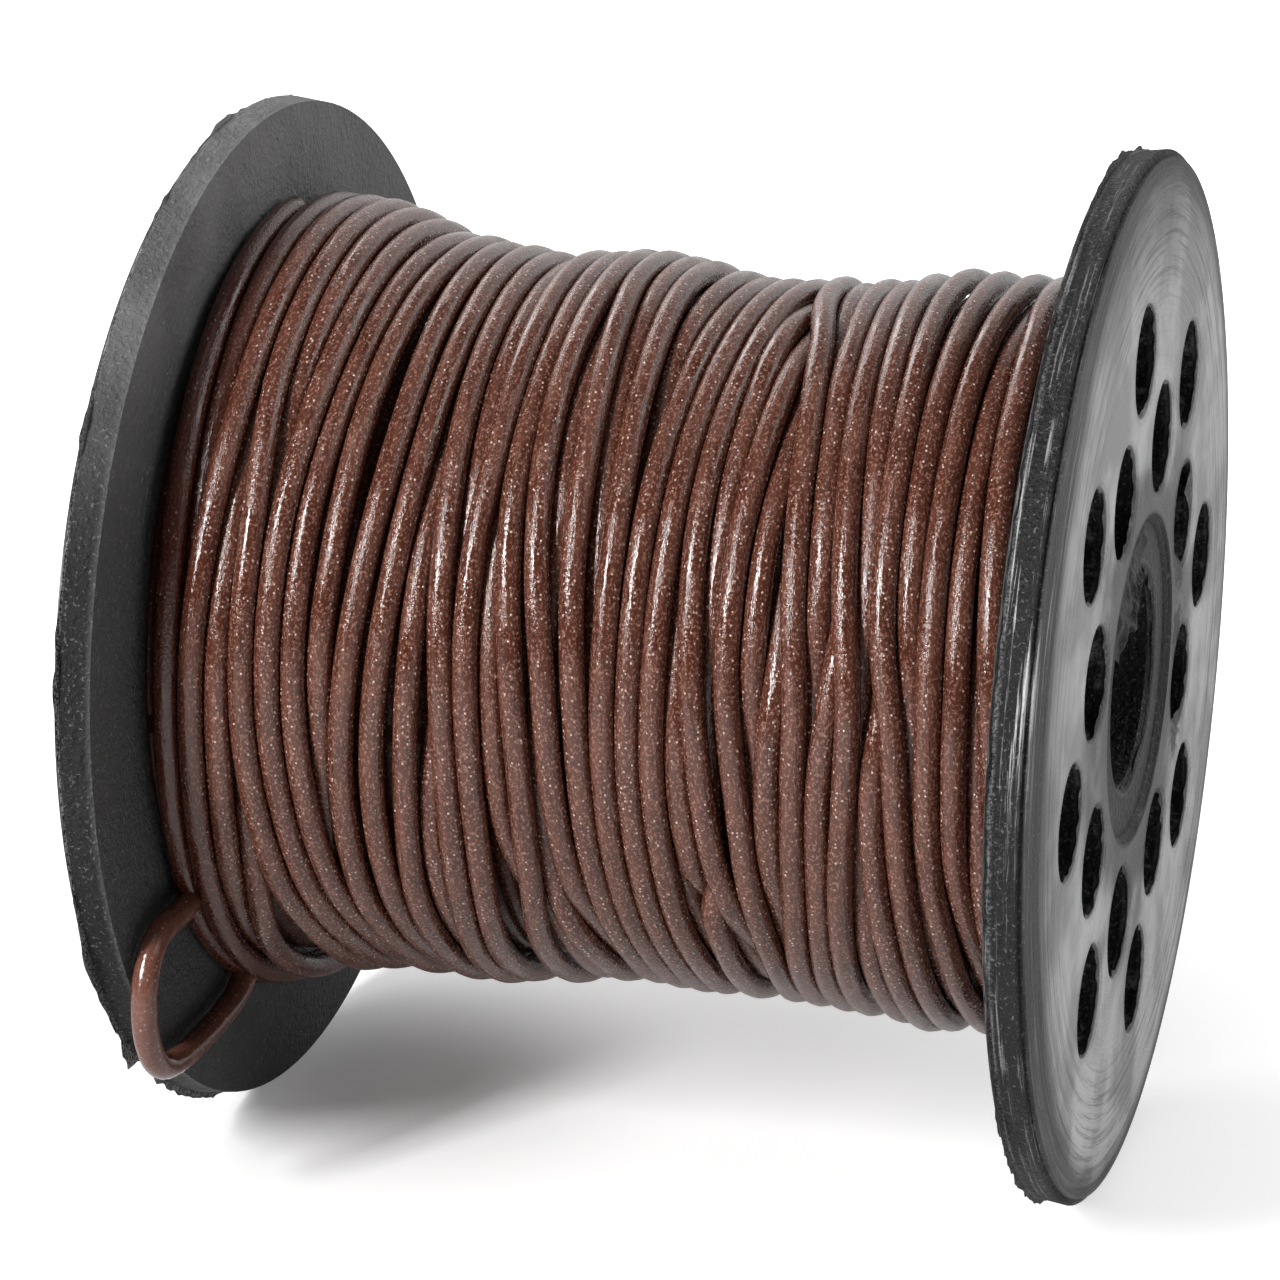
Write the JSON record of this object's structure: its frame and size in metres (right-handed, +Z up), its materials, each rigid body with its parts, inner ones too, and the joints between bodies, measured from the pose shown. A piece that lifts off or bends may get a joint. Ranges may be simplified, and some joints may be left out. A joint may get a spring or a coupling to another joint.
{
  "type": "cord spool",
  "caption": "Moulded plastic spool lying on its rims, two pocketed round flanges on a bored hub, wound with glossy round waxed cord, one loop of the cord hanging loose.",
  "frame": {"origin": "middle of the spindle bore, half way between the two flanges", "axes": "+X along the spindle axis towards the right flange, +Z up; the spool lies on the rims of its flanges, 40 mm below the origin"},
  "size_m": [0.072, 0.08, 0.08],
  "materials": {
    "spool_plastic": "dull black recycled plastic, scuffed",
    "cord": "waxed, glossy"
  },
  "bodies": {
    "root": {"left_flange": "spool_plastic", "right_flange": "spool_plastic", "barrel": "spool_plastic", "winding_core": "cord", "outer_turns": "cord", "tail_loop": "cord"}
  },
  "joints": []
}
